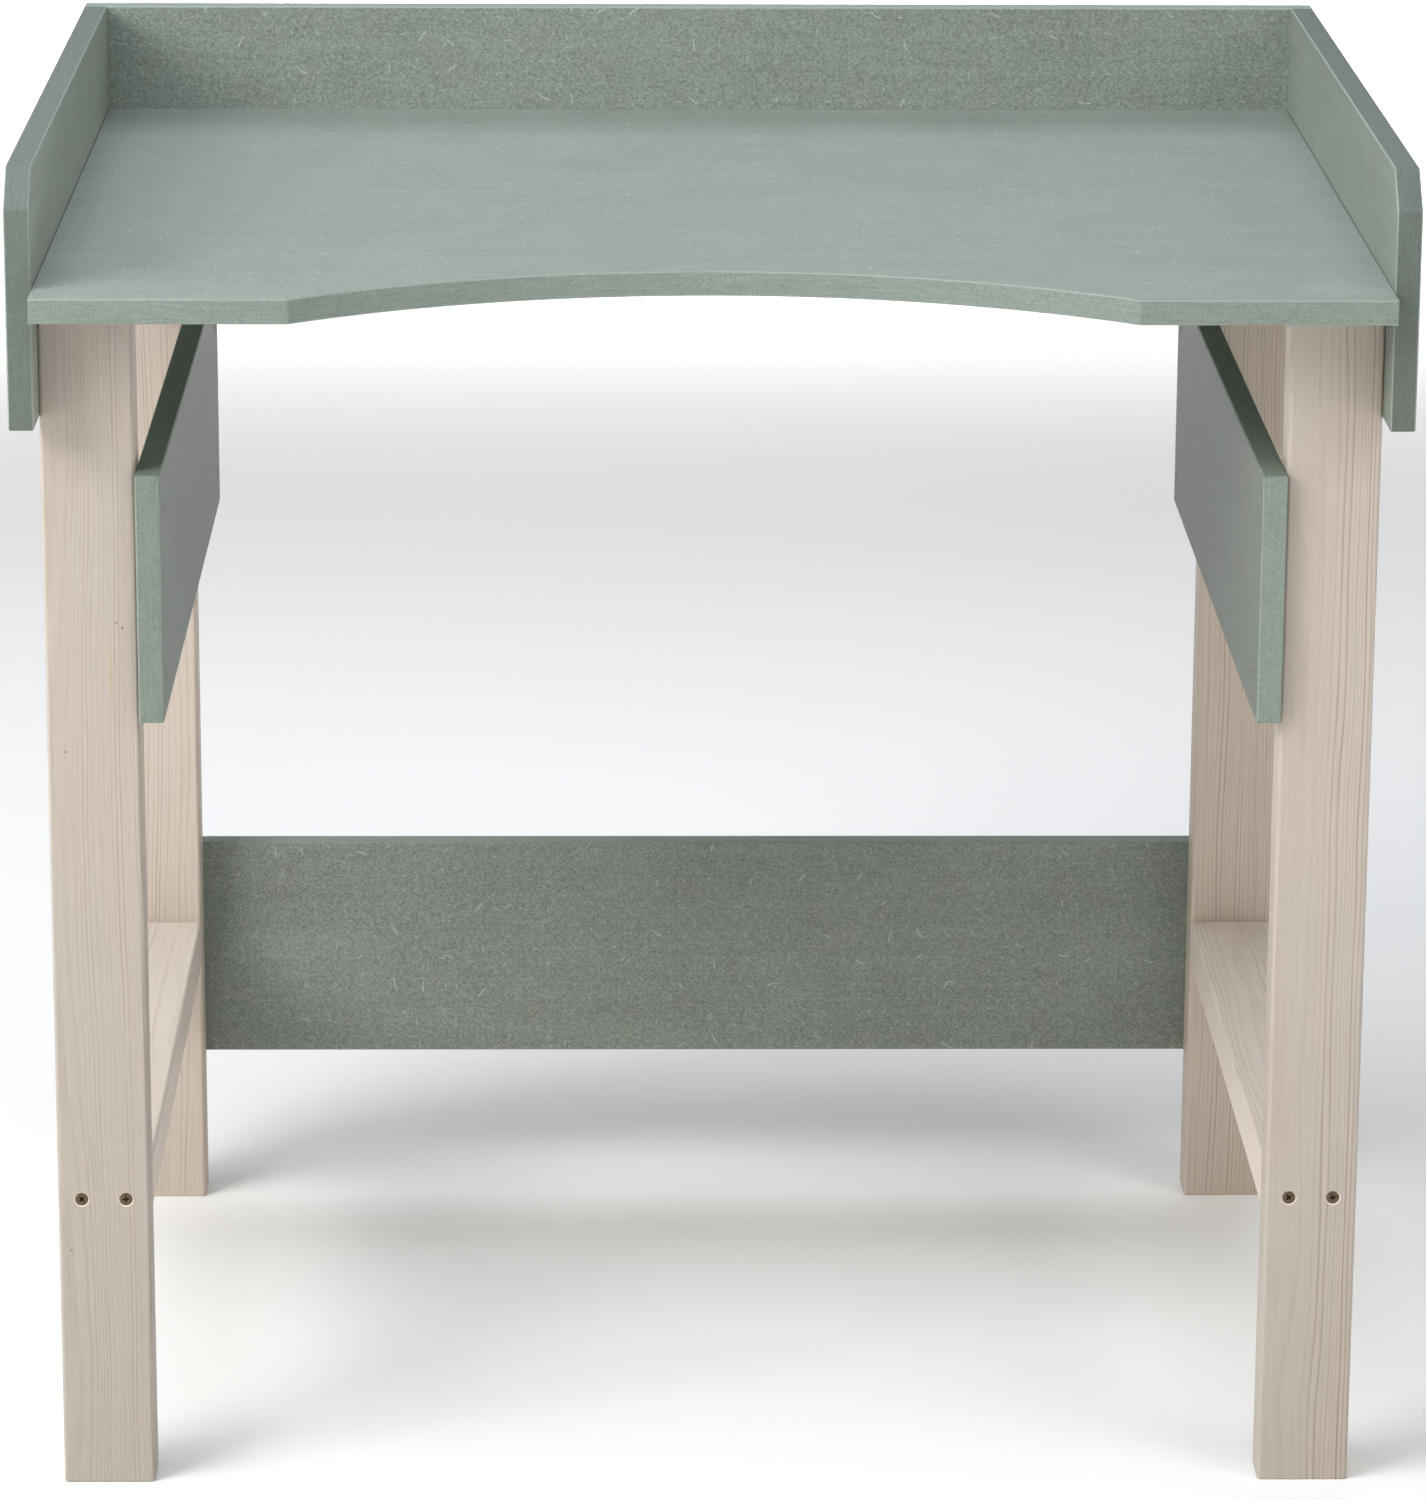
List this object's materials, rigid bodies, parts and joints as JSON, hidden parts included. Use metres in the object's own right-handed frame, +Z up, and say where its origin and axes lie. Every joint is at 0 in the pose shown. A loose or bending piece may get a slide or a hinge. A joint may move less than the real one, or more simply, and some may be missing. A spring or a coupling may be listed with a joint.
{
  "type": "potting bench",
  "caption": "Freestanding bench with upstand panels around its worktop, a curved cut-out in the front edge, side aprons, lower side rails and a rear stretcher.",
  "frame": {"origin": "on the floor, under the middle of the bench's overall width and depth", "axes": "+X to the right as seen from the front, +Y from the front to the back panel, +Z up"},
  "size_m": [0.976, 0.738, 0.982],
  "materials": {
    "mdf": "bare grey-green moisture-resistant fibreboard, sanded, matt",
    "pine": "planed pine with a thin whitewash, matt",
    "screw": "yellow zinc plated, tarnished brown"
  },
  "bodies": {
    "root": {"worktop": "mdf", "left_side_panel": "mdf", "right_side_panel": "mdf", "back_panel": "mdf", "left_apron": "mdf", "right_apron": "mdf", "rear_stretcher": "mdf", "front_left_leg": "pine", "front_right_leg": "pine", "left_lower_rail": "pine", "rear_left_leg": "pine", "rear_right_leg": "pine", "right_lower_rail": "pine", "apron_screw_front_left_lower": "screw", "apron_screw_front_left_upper": "screw", "apron_screw_front_right_lower": "screw", "apron_screw_front_right_upper": "screw", "apron_screw_rear_left_lower": "screw", "apron_screw_rear_left_upper": "screw", "apron_screw_rear_right_lower": "screw", "apron_screw_rear_right_upper": "screw", "back_panel_screw_left_1": "screw", "back_panel_screw_left_2": "screw", "back_panel_screw_right_1": "screw", "back_panel_screw_right_2": "screw", "panel_screw_front_left_1": "screw", "panel_screw_front_left_2": "screw", "panel_screw_front_right_1": "screw", "panel_screw_front_right_2": "screw", "panel_screw_rear_left_1": "screw", "panel_screw_rear_left_2": "screw", "panel_screw_rear_right_1": "screw", "panel_screw_rear_right_2": "screw", "rail_screw_front_left_inner": "screw", "rail_screw_front_left_outer": "screw", "rail_screw_front_right_inner": "screw", "rail_screw_front_right_outer": "screw", "rail_screw_rear_left_inner": "screw", "rail_screw_rear_left_outer": "screw", "rail_screw_rear_right_inner": "screw", "rail_screw_rear_right_outer": "screw", "stretcher_screw_left_1": "screw", "stretcher_screw_left_2": "screw", "stretcher_screw_right_1": "screw", "stretcher_screw_right_2": "screw", "worktop_screw_back_1": "screw", "worktop_screw_back_2": "screw", "worktop_screw_back_3": "screw", "worktop_screw_left_1": "screw", "worktop_screw_left_2": "screw", "worktop_screw_left_3": "screw", "worktop_screw_right_1": "screw", "worktop_screw_right_2": "screw", "worktop_screw_right_3": "screw"}
  },
  "joints": []
}
